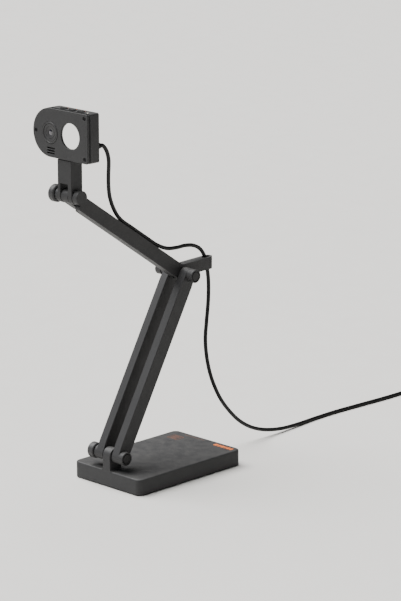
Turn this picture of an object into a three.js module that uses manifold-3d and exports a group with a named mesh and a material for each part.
// Folding USB document camera: weighted base, two-bar lower arm, single-bar upper arm,
// forked neck and a D-shaped camera head with a finger hole. Millimetres, +Z up.
// Origin: centre of the underside of the base. The camera looks along -Y, X is the hinge direction.
import * as THREE from "three";
import { mergeVertices } from "three/addons/utils/BufferGeometryUtils.js";
import Module from "manifold-3d";

const wasm = await Module();
wasm.setup();

// ---------- driving dimensions ----------
const gap = 0.3;                       // clearance between neighbouring pieces
const deg = Math.PI / 180;

const base = { width: 71.5, length: 110, bottom: 0.8, top: 12.9, corner: 5, wall: 2.4, edge: 1.2 };
const post = { halfWidth: 3.9, radius: 6, filletRadius: 1.5 };
const weight = { halfWidth: 24.6, halfLength: 50, bottom: 3.4, top: 9.6 };
const footAt = { x: 26.8, y: 45.5, radius: 5.5 };
const coverScrewAt = { x: 29, y: 28 };

const basePivot = { y: -49, z: 24 };   // hinge axes run along X through these points
const elbow = { y: 23.6, z: 152.7 };
const wrist = { y: -81.3, z: 227.9 };
const boltRadius = 2;
const boreRadius = 2.3;

const lowerArm = { inner: 4.8, outer: 12.1, halfDepth: 5.9, endRadius: 5.3, taper: 8 };
const baseBoss = { right: 16.3, left: -14.4, radius: 5.25 };
const elbowBoss = { right: 17.7, left: -15.2, rightRadius: 5.1, leftRadius: 4.5 };

const upperArm = { halfWidth: 4.45, halfDepth: 5.45, angle: 145.7 * deg };
const clip = {
  halfWidth: 3.6, tipBottom: 151, tipTop: 160.6, rootBottom: 150.2, rootTop: 159.6, lap: 2.7,
  tipY: 54, slotFrom: 50.7, slotTo: 53.7, slotRadius: 2.1,
};
const clipEye = { half: 2.15, radius: 5.2 };

const neck = { left: -15.5, right: -0.8, halfDepth: 5.6, top: 255.3, gapLeft: -12.8, gapRight: -4.8 };
neck.x = (neck.left + neck.right) / 2;
neck.gapTop = wrist.z + 9.6;
const knuckle = { radius: 5.4, aLeft: -12.5, aRight: -5.1, bLeft: -0.5 };

const head = { left: -40.5, right: 17.5, bottom: 255.6, top: 292.2, front: -87.6, back: -75.9 };
head.z = (head.bottom + head.top) / 2;
head.round = (head.top - head.bottom) / 2;
head.lensX = head.left + head.round;
head.coverBack = head.front + 1.5;
head.shellFront = head.coverBack + gap;
const headWall = { side: 1.6, rear: 1.5, step: 0.7, stepDepth: 1.3 };
const fingerHole = { x: -0.9, front: 9.7, rearLeft: 14.9, rearRight: 11.5, shift: 9, lip: 0.4, wall: 1 };
const lens = { ringRadius: 8, barrelRadius: 4 };
const headScrews = [[-37.3, head.z], [14.3, 289], [14.3, 258.9]];
const buttonsX = [-13, -4, 5];
const button = { halfLength: 3.2, halfDepth: 1.8, y: -81.8, proud: 0.7, flange: 0.8 };
button.flangeTop = head.top - headWall.side - headWall.step - gap;

const cable = { radius: 1.5, sides: 8 };
const gland = { x: 14.2, z: 267.2, tipY: -71.8, stem: 1.7, flange: 2.3, collar: 2.7 };
const coil = { y: 312, mean: 16.5, pitch: 3.05, columns: 3, layers: 4, bottom: 0.6 };
coil.outerTurn = coil.mean + (coil.columns - 1) / 2 * coil.pitch;
coil.x = coil.outerTurn;               // the first turn starts where the straight run ends
coil.height = (coil.layers - 1) * coil.pitch + 2 * cable.radius;
const tie = { width: 4, thickness: 0.3, angle: 200 * deg };
const plug = { start: 360, width: 15, height: 7.6, length: 20, relief: 9, shellLength: 12 };

// ---------- materials ----------
function finish(color, roughness, metalness) {
  return new THREE.MeshStandardMaterial({ color, roughness, metalness });
}
const plastic = () => finish(0x3c3c3d, 0.55, 0);
const darkPlastic = () => finish(0x1b1b1c, 0.5, 0);
const steel = () => finish(0x9a9da1, 0.35, 1);
const blackRubber = () => finish(0x111112, 0.8, 0);

// ---------- solids ----------
function toSolid(geometry) {
  const bare = geometry.clone();
  for (const name of Object.keys(bare.attributes)) if (name !== "position") bare.deleteAttribute(name);
  const merged = mergeVertices(bare, 1e-4);
  const mesh = new wasm.Mesh({
    numProp: 3,
    vertProperties: new Float32Array(merged.attributes.position.array),
    triVerts: new Uint32Array(merged.index.array),
  });
  return new wasm.Manifold(mesh);
}

function toGeometry(solid) {
  const mesh = solid.getMesh();
  const geometry = new THREE.BufferGeometry();
  geometry.setAttribute("position", new THREE.BufferAttribute(new Float32Array(mesh.vertProperties), 3));
  geometry.setIndex(new THREE.BufferAttribute(new Uint32Array(mesh.triVerts), 1));
  return geometry;
}

const join = (first, ...rest) => rest.reduce((sum, next) => sum.add(next), first);
const cut = (body, ...tools) => tools.reduce((left, tool) => left.subtract(tool), body);

function box(x0, x1, y0, y1, z0, z1) {
  const geometry = new THREE.BoxGeometry(x1 - x0, y1 - y0, z1 - z0);
  geometry.translate((x0 + x1) / 2, (y0 + y1) / 2, (z0 + z1) / 2);
  return toSolid(geometry);
}

// starts or continues a shape along an arc, in a stated number of straight steps
function arc(shape, x, y, radius, from, to, steps) {
  for (let i = 0; i <= steps; i++) {
    const a = from + (to - from) * i / steps;
    const draw = shape.currentPoint.lengthSq() > 0 ? "lineTo" : "moveTo";
    shape[draw](x + radius * Math.cos(a), y + radius * Math.sin(a));
  }
}

function extrude(shape, length, bevel, bevelSegments = 1) {
  return new THREE.ExtrudeGeometry(shape, {
    depth: length - 2 * bevel,
    bevelEnabled: bevel > 0,
    bevelThickness: bevel,
    bevelSize: bevel,
    bevelOffset: -bevel,
    bevelSegments,
  }).translate(0, 0, bevel);
}

// shape drawn in (y, z), running along X from x0 to x1
function prismX(shape, x0, x1, bevel = 0) {
  const geometry = extrude(shape, x1 - x0, bevel);
  const turn = new THREE.Matrix4().makeBasis(
    new THREE.Vector3(0, 1, 0), new THREE.Vector3(0, 0, 1), new THREE.Vector3(1, 0, 0));
  return toSolid(geometry.applyMatrix4(turn).translate(x0, 0, 0));
}

// shape drawn in (x, z), running along Y from y0 to y1
function prismY(shape, y0, y1, bevel = 0) {
  const geometry = extrude(shape, y1 - y0, bevel);
  const turn = new THREE.Matrix4().makeBasis(
    new THREE.Vector3(1, 0, 0), new THREE.Vector3(0, 0, 1), new THREE.Vector3(0, -1, 0));
  return toSolid(geometry.applyMatrix4(turn).translate(0, y1, 0));
}

// shape drawn in (x, y), running along Z from z0 to z1
function prismZ(shape, z0, z1, bevel = 0, bevelSegments = 1) {
  return toSolid(extrude(shape, z1 - z0, bevel, bevelSegments).translate(0, 0, z0));
}

// profile is a list of [radius, distance along the axis], from the axis back to the axis
function lathe(profile, segments = 20) {
  return new THREE.LatheGeometry(profile.map(([r, d]) => new THREE.Vector2(r, d)), segments);
}
const latheX = (profile, y = 0, z = 0, segments = 20) =>
  toSolid(lathe(profile, segments).rotateZ(-Math.PI / 2).translate(0, y, z));
const latheY = (profile, x, z, segments = 20) =>
  toSolid(lathe(profile, segments).translate(x, 0, z));
const latheZ = (profile, x, y, segments = 20) =>
  toSolid(lathe(profile, segments).rotateX(Math.PI / 2).translate(x, y, 0));

const rod = (radius, from, to) => [[0, from], [radius, from], [radius, to], [0, to]];
const rodX = (radius, x0, x1, y = 0, z = 0, segments = 20) => latheX(rod(radius, x0, x1), y, z, segments);
const rodY = (radius, y0, y1, x, z, segments = 20) => latheY(rod(radius, y0, y1), x, z, segments);
const rodZ = (radius, z0, z1, x, y, segments = 20) => latheZ(rod(radius, z0, z1), x, y, segments);
const softRod = (radius, from, to, edge) => [
  [0, from], [radius - edge, from], [radius, from + edge], [radius, to - edge], [radius - edge, to], [0, to],
];
const washerSolid = (outer, inner, x0, x1) => cut(rodX(outer, x0, x1), rodX(inner, x0 - 1, x1 + 1));

function roundedRect(width, length, corner) {
  const [w, l] = [width / 2, length / 2];
  const shape = new THREE.Shape();
  arc(shape, w - corner, -l + corner, corner, -Math.PI / 2, 0, 4);
  arc(shape, w - corner, l - corner, corner, 0, Math.PI / 2, 4);
  arc(shape, -w + corner, l - corner, corner, Math.PI / 2, Math.PI, 4);
  arc(shape, -w + corner, -l + corner, corner, Math.PI, Math.PI * 1.5, 4);
  return shape;
}

function stadium(x0, x1, radius) {
  const shape = new THREE.Shape();
  arc(shape, x1, 0, radius, -Math.PI / 2, Math.PI / 2, 10);
  arc(shape, x0, 0, radius, Math.PI / 2, Math.PI * 1.5, 10);
  return shape;
}

// ---------- scene graph ----------
const model = new THREE.Group();
function group(y, z, turn, parent = model) {
  const made = new THREE.Group();
  made.position.set(0, y, z);
  made.rotation.x = turn;
  parent.add(made);
  return made;
}
function add(name, solid, material, parent = model) {
  const mesh = new THREE.Mesh(toGeometry(solid), material);
  mesh.name = name;
  parent.add(mesh);
  return mesh;
}
const corners = [["front_left", -1, -1], ["front_right", 1, -1], ["rear_left", -1, 1], ["rear_right", 1, 1]];

// ---------- base ----------
function postSolid() {
  const profile = new THREE.Shape();
  profile.moveTo(basePivot.y - post.radius, base.top - 3);
  profile.lineTo(basePivot.y + post.radius, base.top - 3);
  arc(profile, basePivot.y, basePivot.z, post.radius, 0, Math.PI, 12);
  const r = post.filletRadius;
  const sweep = new THREE.Shape();
  sweep.moveTo(-post.halfWidth - r, base.top - 2);
  sweep.lineTo(post.halfWidth + r, base.top - 2);
  arc(sweep, post.halfWidth + r, base.top + r - 0.05, r, -Math.PI / 2, -Math.PI, 4);
  arc(sweep, -post.halfWidth - r, base.top + r - 0.05, r, 0, -Math.PI / 2, 4);
  const front = -base.length / 2;
  return join(
    prismX(profile, -post.halfWidth, post.halfWidth, 0.5),
    prismY(sweep, front + 0.1, basePivot.y + post.radius - 0.1));
}

function baseShell() {
  const outer = roundedRect(base.width, base.length, base.corner);
  const block = prismZ(outer, -4, base.top, base.edge, 2).intersect(
    box(-60, 60, -80, 80, base.bottom, base.top + 1));
  const inner = roundedRect(base.width - 2 * base.wall, base.length - 2 * base.wall, base.corner - 1.6);
  let shell = cut(block, prismZ(inner, -1, base.top - base.wall));
  shell = join(shell, postSolid());
  for (const [, sx, sy] of corners) {
    const [x, y] = [sx * coverScrewAt.x, sy * coverScrewAt.y];
    shell = join(shell, rodZ(3.4, 3.1, base.top - 1.5, x, y, 14));
    shell = cut(shell, rodZ(1.7, 2.9, 9, x, y, 14));
  }
  return cut(shell, rodX(boreRadius, -8, 8, basePivot.y, basePivot.z));
}

function baseCover() {
  const side = 2 * base.wall + 2 * gap;
  const plate = roundedRect(base.width - side, base.length - side, base.corner - 1.9);
  let cover = prismZ(plate, base.bottom, 2.8);
  for (const [, sx, sy] of corners) {
    cover = cut(cover,
      rodZ(footAt.radius + gap, 0, 1.8, sx * footAt.x, sy * footAt.y),
      rodZ(1.8, 0, 4, sx * coverScrewAt.x, sy * coverScrewAt.y, 14),
      rodZ(3.1, 0, 1.9, sx * coverScrewAt.x, sy * coverScrewAt.y, 14));
  }
  return cover;
}

add("base_shell", baseShell(), plastic());
const weightPlate = roundedRect(2 * weight.halfWidth, 2 * weight.halfLength, 3);
add("base_weight", prismZ(weightPlate, weight.bottom, weight.top, 0.6), steel());
add("base_cover", baseCover(), darkPlastic());
for (const [where, sx, sy] of corners) {
  const foot = latheZ(softRod(footAt.radius, 0, 1.5, 0.4), sx * footAt.x, sy * footAt.y);
  add(`foot_${where}`, foot, blackRubber());
  const screw = join(
    rodZ(2.8, 0.9, 1.6, sx * coverScrewAt.x, sy * coverScrewAt.y, 14),
    rodZ(1.4, 1.5, 8.2, sx * coverScrewAt.x, sy * coverScrewAt.y, 14));
  add(`cover_screw_${where}`, screw, steel());
}

// ---------- lower arm ----------
const reach = Math.hypot(elbow.y - basePivot.y, elbow.z - basePivot.z);
const lowerAngle = Math.atan2(elbow.z - basePivot.z, elbow.y - basePivot.y);
const lower = group(basePivot.y, basePivot.z, lowerAngle);

function lowerBar(sign) {
  const { halfDepth, endRadius, taper } = lowerArm;
  const bar = new THREE.Shape();
  arc(bar, reach, 0, endRadius, -Math.PI / 2, Math.PI / 2, 10);
  bar.lineTo(reach - taper, halfDepth);
  bar.lineTo(taper, halfDepth);
  arc(bar, 0, 0, endRadius, Math.PI / 2, Math.PI * 1.5, 10);
  bar.lineTo(taper, -halfDepth);
  bar.lineTo(reach - taper, -halfDepth);
  const ends = sign > 0 ? [lowerArm.inner, lowerArm.outer] : [-lowerArm.outer, -lowerArm.inner];
  let solid = prismX(bar, ends[0], ends[1], 0.5);
  const bores = [rodX(boreRadius, -30, 30, 0, 0), rodX(boreRadius, -30, 30, reach, 0)];
  if (sign > 0) {
    solid = join(solid,
      latheX(softRod(baseBoss.radius, lowerArm.inner + 1, baseBoss.right, 0.5)),
      latheX(softRod(elbowBoss.rightRadius, lowerArm.inner + 1, elbowBoss.right, 0.5), reach));
    bores.push(rodX(4, baseBoss.right - 3.9, 30), rodX(3.9, elbowBoss.right - 3.9, 30, reach));
  } else {
    solid = join(solid,
      latheX(softRod(baseBoss.radius, baseBoss.left, -lowerArm.inner - 1, 0.4)),
      latheX(softRod(elbowBoss.leftRadius, elbowBoss.left, -lowerArm.inner - 1, 0.4), reach));
  }
  return cut(solid, ...bores);
}

// a bolt with its round head on the right and its thread end on the left
function bolt(leftEnd, headX, y = 0, z = 0) {
  return join(rodX(boltRadius, leftEnd, headX + 0.5, y, z), rodX(3.6, headX, headX + 1.9, y, z));
}
// a chamfered knob, open on the right for the bolt's end
function knobSolid(radius, x0, x1, edge, y = 0, z = 0) {
  const body = latheX([
    [0, x0], [radius - 2 * edge, x0], [radius, x0 + edge * 1.6], [radius, x1 - edge], [radius - edge, x1], [0, x1],
  ], y, z, 28);
  return cut(body, rodX(boltRadius + gap, x1 - 3.8, x1 + 1, y, z));
}
function capSolid(radius, x0, x1) {
  return latheX(softRod(radius, x0, x1, 0.3));
}

add("lower_arm_left_bar", lowerBar(-1), plastic(), lower);
add("lower_arm_right_bar", lowerBar(1), plastic(), lower);
add("base_hinge_bolt", bolt(-18.4, baseBoss.right - 3.6), steel(), lower);
add("base_hinge_cap", capSolid(3.7, baseBoss.right - 1.3, baseBoss.right - 0.2), darkPlastic(), lower);
for (const [side, x] of [["left", -4.5], ["right", 4.2]]) {
  add(`base_hinge_washer_${side}`, washerSolid(4.2, boreRadius, x, x + gap), steel(), lower);
}
add("base_knob_washer", washerSolid(4.4, boreRadius, -14.9, -14.7), steel(), lower);
add("base_hinge_knob", knobSolid(6, -21.8, -15.2, 0.7), plastic(), lower);

const joint = group(reach, 0, 0, lower);
add("elbow_bolt", bolt(-19, elbowBoss.right - 3.6), steel(), joint);
add("elbow_cap", capSolid(3.6, elbowBoss.right - 1.3, elbowBoss.right - 0.2), darkPlastic(), joint);
add("elbow_nut_washer", washerSolid(3.7, boreRadius, -15.9, -15.5), steel(), joint);
add("elbow_nut", knobSolid(4.5, -22.8, -16.2, 0.5), plastic(), joint);

// ---------- upper arm ----------
const along = new THREE.Vector2(Math.cos(upperArm.angle), Math.sin(upperArm.angle));
const toWrist = new THREE.Vector2(wrist.y - elbow.y, wrist.z - elbow.z);
const wristS = toWrist.dot(along);                               // along the arm
const wristP = toWrist.x * -along.y + toWrist.y * along.x;       // across it, + is the underside
const upper = group(elbow.y, elbow.z, upperArm.angle);

function upperArmSolid() {
  const { halfDepth: h, halfWidth: w } = upperArm;
  const k = knuckle.radius;
  const bar = new THREE.Shape();
  arc(bar, 0, 0, h, Math.PI / 2, Math.PI * 1.5, 10);
  bar.lineTo(wristS - 4, -h);
  bar.lineTo(wristS - 2.5, h);
  const tip = new THREE.Shape();
  tip.moveTo(wristS - 13, wristP + k);
  tip.lineTo(wristS - 13, -h);
  arc(tip, wristS, wristP, k, Math.PI + Math.asin((h + wristP) / k), Math.PI * 2.5, 14);
  let solid = join(
    prismX(bar, -w, w, 0.5),
    prismX(tip, knuckle.aLeft, w, 0.4));
  solid = cut(solid,
    rodX(6.2, knuckle.aRight, knuckle.bLeft, wristS, wristP, 40),
    box(knuckle.aRight, knuckle.bLeft, wristS - 5.5, wristS + 12, -16, 16),
    rodX(boreRadius, -20, 2.6, wristS, wristP),
    rodX(boreRadius, -10, 10, 0, 0));
  // slot for the clip's eye at the elbow end
  return cut(solid,
    rodX(5.75, -clipEye.half - gap, clipEye.half + gap, 0, 0),
    box(-clipEye.half - gap, clipEye.half + gap, -8, 0, -8, 8));
}

function clipSolid() {
  const tab = stadium(0, clip.tipY, clip.halfWidth);
  const turned = new THREE.Shape(tab.getPoints().map((p) => new THREE.Vector2(-p.y, p.x)));
  const side = new THREE.Shape();
  side.moveTo(clip.tipY + clip.halfWidth, clip.tipBottom);
  side.lineTo(clip.tipY + clip.halfWidth, clip.tipTop);
  side.lineTo(elbow.y + 1, clip.rootTop);
  const clear = upperArm.halfDepth + gap;                // the root saddles the arm's round end
  const above = upperArm.angle - Math.PI / 2;
  side.lineTo(
    elbow.y + clear * Math.cos(above) + clip.lap * along.x,
    elbow.z + clear * Math.sin(above) + clip.lap * along.y);
  arc(side, elbow.y, elbow.z, clear, above, -25 * deg, 8);
  side.lineTo(elbow.y + 7.4, clip.rootBottom);
  const holder = prismZ(turned, clip.rootBottom - 1, clip.tipTop + 1)
    .intersect(prismX(side, -clip.halfWidth, clip.halfWidth, 0.4));
  const eye = join(
    rodX(clipEye.radius, -clipEye.half, clipEye.half, elbow.y, elbow.z),
    box(-clipEye.half, clipEye.half, elbow.y, elbow.y + 8, elbow.z - 1.7, elbow.z + 5));
  const mouth = clip.slotTo - 1.2;     // the cable is pressed in sideways through this slit
  return cut(join(holder, eye),
    rodX(boreRadius, -10, 10, elbow.y, elbow.z),
    rodZ(clip.slotRadius, 100, 200, 0, clip.slotFrom),
    rodZ(clip.slotRadius, 100, 200, 0, clip.slotTo),
    box(-clip.slotRadius, clip.slotRadius, clip.slotFrom, clip.slotTo, 100, 200),
    box(-9, 0, mouth, mouth + 2.4, 100, 200));
}

add("upper_arm", upperArmSolid(), plastic(), upper);
add("cable_clip", clipSolid(), plastic());

// ---------- wrist and neck ----------
const wristAxis = group(wrist.y, wrist.z, 0);
add("wrist_bolt", rodX(boltRadius, -22.6, 2.2, 0, 0), steel(), wristAxis);
add("wrist_knob_washer", washerSolid(4.6, boreRadius, -19.6, -19), steel(), wristAxis);
add("wrist_knob", knobSolid(6.6, -26.2, -19.9, 0.8), plastic(), wristAxis);

function neckSolid() {
  const profile = new THREE.Shape();
  const h = neck.halfDepth;
  profile.moveTo(wrist.y + h, neck.top);
  profile.lineTo(wrist.y - h, neck.top);
  arc(profile, wrist.y, wrist.z, h, Math.PI, Math.PI * 2, 12);
  const solid = join(
    prismX(profile, neck.left, neck.right, 0.5),
    latheX(softRod(knuckle.radius, neck.left - 3, neck.left + 1.5, 0.4), wrist.y, wrist.z));
  return cut(solid,
    box(neck.gapLeft, neck.gapRight, wrist.y - 12, wrist.y + 12, wrist.z - 12, neck.gapTop),
    rodX(boreRadius, -30, 5, wrist.y, wrist.z),
    rodZ(boreRadius, neck.top - 10, neck.top + 1, neck.x, wrist.y));
}
add("neck", neckSolid(), plastic());
const pinHead = head.bottom + headWall.side + headWall.step + gap;
const pinProfile = [
  [0, neck.top - 9.5], [2, neck.top - 9.5], [2, pinHead], [2.8, pinHead], [2.8, pinHead + 0.6], [0, pinHead + 0.6],
];
add("swivel_pin", latheZ(pinProfile, neck.x, wrist.y), steel());

// ---------- camera head ----------
function headOutline(inset) {
  const r = head.round - inset;
  const c = 1.4;
  const [right, top, bottom] = [head.right - inset, head.top - inset, head.bottom + inset];
  const shape = new THREE.Shape();
  arc(shape, right - c, bottom + c, c, -Math.PI / 2, 0, 3);
  arc(shape, right - c, top - c, c, 0, Math.PI / 2, 3);
  arc(shape, head.lensX, head.z, r, Math.PI / 2, Math.PI * 1.5, 20);
  return shape;
}

// The finger hole is round in front and flares to an egg shape at the back.
function fingerHoleSolid(grow) {
  const [y0, y1] = [head.front + fingerHole.lip, head.back];
  const geometry = new THREE.CylinderGeometry(1, 1, 1, 32, 1);
  const place = geometry.attributes.position;
  for (let i = 0; i < place.count; i++) {
    const [c, t, s] = [place.getX(i), place.getY(i) + 0.5, place.getZ(i)];
    const left = c < -0.01;
    const rear = (left ? fingerHole.rearLeft : fingerHole.rearRight) + grow;
    const radius = THREE.MathUtils.lerp(fingerHole.front + grow, rear, t);
    const x = fingerHole.x + radius * c - (left ? fingerHole.shift * t : 0);
    place.setXYZ(i, x, THREE.MathUtils.lerp(y0, y1, t), head.z + radius * s);
  }
  return toSolid(geometry);
}
const fingerHoleCut = () => join(
  fingerHoleSolid(0),
  rodY(fingerHole.front, head.front - 2, head.front + fingerHole.lip + 0.01, fingerHole.x, head.z, 32),
  rodY(fingerHole.rearRight, head.back - 0.01, head.back + 2, fingerHole.x, head.z, 32));

function rearShell() {
  const stepBack = head.shellFront + headWall.stepDepth;
  const outer = join(
    prismY(headOutline(headWall.step), head.shellFront, stepBack + 0.2),
    prismY(headOutline(0), stepBack, head.back, 0.6));
  const rearInner = head.back - headWall.rear;
  let shell = cut(outer, prismY(headOutline(headWall.side + headWall.step), head.shellFront - 1, rearInner));
  const wall = fingerHoleSolid(fingerHole.wall).intersect(
    box(-60, 60, head.shellFront, head.back - 0.2, 200, 320));
  shell = join(shell, wall.intersect(prismY(headOutline(0.3), head.shellFront, head.back)));
  shell = cut(shell, fingerHoleCut());
  for (const [x, z] of headScrews) {
    shell = join(shell, rodY(1.9, head.shellFront, rearInner + 0.5, x, z, 18));
    shell = cut(shell, rodY(1.1, head.shellFront - 1, rearInner - 2, x, z, 14));
  }
  for (const x of buttonsX) {
    const slot = stadium(-button.halfLength + button.halfDepth, button.halfLength - button.halfDepth,
      button.halfDepth + gap);
    shell = cut(shell, prismZ(slot, 288, 294).translate([x, button.y, 0]));
  }
  return cut(shell,
    rodZ(0.9, 289, 294, 12, button.y, 14),
    rodZ(boreRadius, head.bottom - 1, head.bottom + 3, neck.x, wrist.y),
    rodY(gland.stem + gap, rearInner - 1, head.back + 1, gland.x, gland.z),
    rodY(gland.flange + gap, rearInner - 2.1, rearInner, gland.x, gland.z));
}

function frontCover() {
  let cover = prismY(headOutline(0.1), head.front, head.coverBack, 0.3);
  cover = cut(cover, fingerHoleCut(),
    rodY(lens.ringRadius + gap, head.front - 1, head.coverBack + 1, head.lensX, head.z, 28));
  for (const [x, z] of headScrews) {
    cover = cut(cover, rodY(1.5, head.front - 1, head.front + 0.9, x, z, 18),
      rodY(0.9, head.front - 1, head.coverBack + 1, x, z, 14));
  }
  for (let i = 0; i < 3; i++) {
    const z = head.z - 11.4 - 1.9 * i;
    cover = cut(cover, box(-25.4, -17.6, head.front - 1, head.coverBack + 1, z - 0.4, z + 0.4));
  }
  return cover;
}

add("head_rear_shell", rearShell(), plastic());
add("head_front_cover", frontCover(), plastic());
headScrews.forEach(([x, z], i) => {
  const screw = join(rodY(1.2, head.front + 0.2, head.front + 0.6, x, z, 16),
    rodY(0.6, head.front + 0.5, head.front + 6, x, z, 12));
  add(`head_screw_${["left", "top", "bottom"][i]}`, screw, steel());
});
const ringProfile = [
  [4.6, head.front - 0.3], [7.2, head.front - 0.3], [lens.ringRadius, head.front + 0.2],
  [lens.ringRadius, head.front + 1.5], [4.6, head.front + 1.5], [4.6, head.front - 0.3],
];
add("lens_ring", latheY(ringProfile, head.lensX, head.z, 28), darkPlastic());
add("lens_glass", latheY(rod(4.3, head.front + 0.3, head.front + 1), head.lensX, head.z, 24),
  finish(0x0b0c10, 0.05, 0));
const barrel = [
  [0, head.front + 4.4], [lens.barrelRadius, head.front + 4.4], [lens.barrelRadius, head.front + 1.4],
  [1.6, head.front + 1.4], [1.2, head.front + 2.6], [0, head.front + 2.6],
];
add("lens_barrel", latheY(barrel.reverse(), head.lensX, head.z, 24), darkPlastic());
add("sensor_board", box(-35, -19.5, head.front + 4.7, head.front + 5.7, head.z - 8, head.z + 8),
  finish(0x1f5a33, 0.5, 0));
for (const [i, x] of buttonsX.entries()) {
  const half = button.halfLength - button.halfDepth;
  const cap = join(
    prismZ(stadium(-half, half, button.halfDepth), button.flangeTop - 0.4, head.top + button.proud, 0.25),
    prismZ(stadium(-half - 0.8, half + 0.8, button.halfDepth), button.flangeTop - button.flange, button.flangeTop));
  add(`push_button_${i + 1}`, cap.translate([x, button.y, 0]), darkPlastic());
}
add("indicator_lens", latheZ(softRod(0.6, 289.9, head.top + 0.15, 0.1), 12, button.y, 14),
  finish(0xf2efe6, 0.3, 0));
const glandProfile = [
  [0, head.back - 2.7], [gland.flange, head.back - 2.7], [gland.flange, head.back - 1.8],
  [gland.stem, head.back - 1.8], [gland.stem, head.back + gap], [gland.collar, head.back + gap],
  [gland.collar, head.back + 1], [1.9, gland.tipY], [0, gland.tipY],
];
add("cable_gland", latheY(glandProfile, gland.x, gland.z), blackRubber());

// ---------- cable ----------
// from the gland, over the upper arm, through the clip, down behind the arms and along the table
const route = [
  [14.2, -71.4, 267.2], [14.2, -70, 267.15], [14.1, -67.8, 265.6], [13.7, -65.4, 262.8], [12.9, -63.1, 258.9],
  [11.8, -61.2, 254.6], [10.2, -59.6, 250], [7.8, -57.7, 243.4], [5.4, -55.5, 236.2], [3.9, -53.8, 230.4],
  [2.6, -51.8, 224.9], [1.6, -49.2, 219.4], [0.8, -46, 213.9], [0.3, -41.8, 208.6], [0, -36.6, 204.3],
  [0, -29, 199.2], [0, -12, 187.3], [0, 0, 179.6], [0, 10, 175.6], [0, 20, 174], [0, 30, 173.5], [0, 39, 171.6],
  [0, 46, 167.4], [0, 50.3, 161.9], [0, 52.4, 156], [0, 53.7, 150.6], [0, 54.6, 145.6], [0, 55.2, 139],
  [0, 55.2, 130], [0, 54.6, 121], [0, 53, 108], [0, 51.8, 95], [0, 53, 82], [0, 56.4, 68], [0, 61.8, 55],
  [0, 69.5, 42], [0, 79.7, 30], [0, 91, 19.8], [0, 104, 12], [0, 119, 6.6], [0, 138, 3.2], [-1.2, 160, 1.9],
  [-3, 182, 1.5], [-3.4, 207, 1.5], [-2, 236, 1.5], [-0.4, 264, 1.5], [0, 284, 1.5], [0, coil.y - 11.6, 1.5],
];
const sectionEnds = { head: 10, arm: 26, elbow: 29 };   // the route points where one section meets the next
const tailRun = [
  [0, coil.y + 11.7, 10.6], [0, coil.y + 18, 8.8], [0, coil.y + 26, 5.9], [0, coil.y + 34, 4.2],
  [0, coil.y + 41, 3.8], [0, plug.start - gap, 3.8],
];

const curveThrough = (points) =>
  new THREE.CatmullRomCurve3(points.map((p) => new THREE.Vector3(...p)), false, "centripetal");
const routeCurve = curveThrough(route);

// one stretch of a longer curve, from t0 to t1
class Stretch extends THREE.Curve {
  constructor(whole, t0, t1) {
    super();
    this.at = (t) => whole.getPoint(t0 + (t1 - t0) * t);
  }
  getPoint(t) {
    return this.at(t);
  }
}

// the curve parameter at a route point, moved by half of the gap between two sections
function meeting(index, side) {
  const t = index / (route.length - 1);
  const speed = routeCurve.getPoint(t + 0.001).distanceTo(routeCurve.getPoint(t - 0.001)) / 0.002;
  return t + side * 0.55 * gap / speed;
}

function cableSolid(path, steps) {
  const section = new THREE.Shape();
  arc(section, 0, 0, cable.radius, 0, 2 * Math.PI * (1 - 1 / cable.sides), cable.sides - 1);
  return toSolid(new THREE.ExtrudeGeometry(section, { steps, extrudePath: path, bevelEnabled: false }));
}
const { head: headEnd, arm: armEnd, elbow: elbowEnd } = sectionEnds;
const sections = [
  ["cable_head_section", 0, meeting(headEnd, -1), 9],
  ["cable_arm_section", meeting(headEnd, 1), meeting(armEnd, -1), 24],
  ["cable_elbow_section", meeting(armEnd, 1), meeting(elbowEnd, -1), 4],
  ["cable_table_section", meeting(elbowEnd, 1), 1, 36],
];
for (const [name, t0, t1, steps] of sections) {
  add(name, cableSolid(new Stretch(routeCurve, t0, t1), steps), blackRubber());
}
add("cable_tail_section", cableSolid(curveThrough(tailRun), 6), blackRubber());

const half = (coil.outerTurn - coil.mean) + cable.radius;
const [coilBottom, coilTop] = [coil.bottom, coil.bottom + coil.height];
const coilProfile = [
  [coil.mean - half, coilBottom + 0.6], [coil.mean - half + 0.6, coilBottom], [coil.mean + half - 0.6, coilBottom],
  [coil.mean + half, coilBottom + 0.6], [coil.mean + half, coilTop - 0.6], [coil.mean + half - 0.6, coilTop],
  [coil.mean - half + 0.6, coilTop], [coil.mean - half, coilTop - 0.6], [coil.mean - half, coilBottom + 0.6],
];
add("cable_coil", latheZ(coilProfile, coil.x, coil.y, 28), blackRubber());

// a flat strap once round the bundle of turns
const strapIn = half + 2 * gap;
const strapOut = strapIn + tie.thickness;
const strap = cut(
  box(coil.mean - strapOut, coil.mean + strapOut, -tie.width / 2, tie.width / 2, 0, coilTop + gap + tie.thickness),
  box(coil.mean - strapIn, coil.mean + strapIn, -9, 9, coilBottom - gap, coilTop + gap));
add("coil_tie", strap.rotate([0, 0, tie.angle / deg]).translate([coil.x, coil.y, 0]), blackRubber());

const plugZ = plug.height / 2;
const plugBody = join(
  latheY([[0, plug.start], [2, plug.start], [2.9, plug.start + plug.relief + 1], [0, plug.start + plug.relief + 1]],
    0, plugZ, 16),
  box(-plug.width / 2, plug.width / 2, plug.start + plug.relief, plug.start + plug.relief + plug.length,
    0, plug.height));
add("usb_plug_body", plugBody, darkPlastic());
const shellFrom = plug.start + plug.relief + plug.length + gap;
const shellTo = shellFrom + plug.shellLength;
const plugShell = cut(
  box(-6, 6, shellFrom, shellTo, plugZ - 2.25, plugZ + 2.25),
  box(-5.65, 5.65, shellFrom + 1, shellTo + 1, plugZ - 1.9, plugZ + 1.9));
add("usb_plug_shell", plugShell, steel());
add("usb_plug_tongue", box(-5.3, 5.3, shellFrom + 1.3, shellTo - 1, plugZ - 0.1, plugZ + 1.6), finish(0xe8e8e4, 0.5, 0));

export default model;
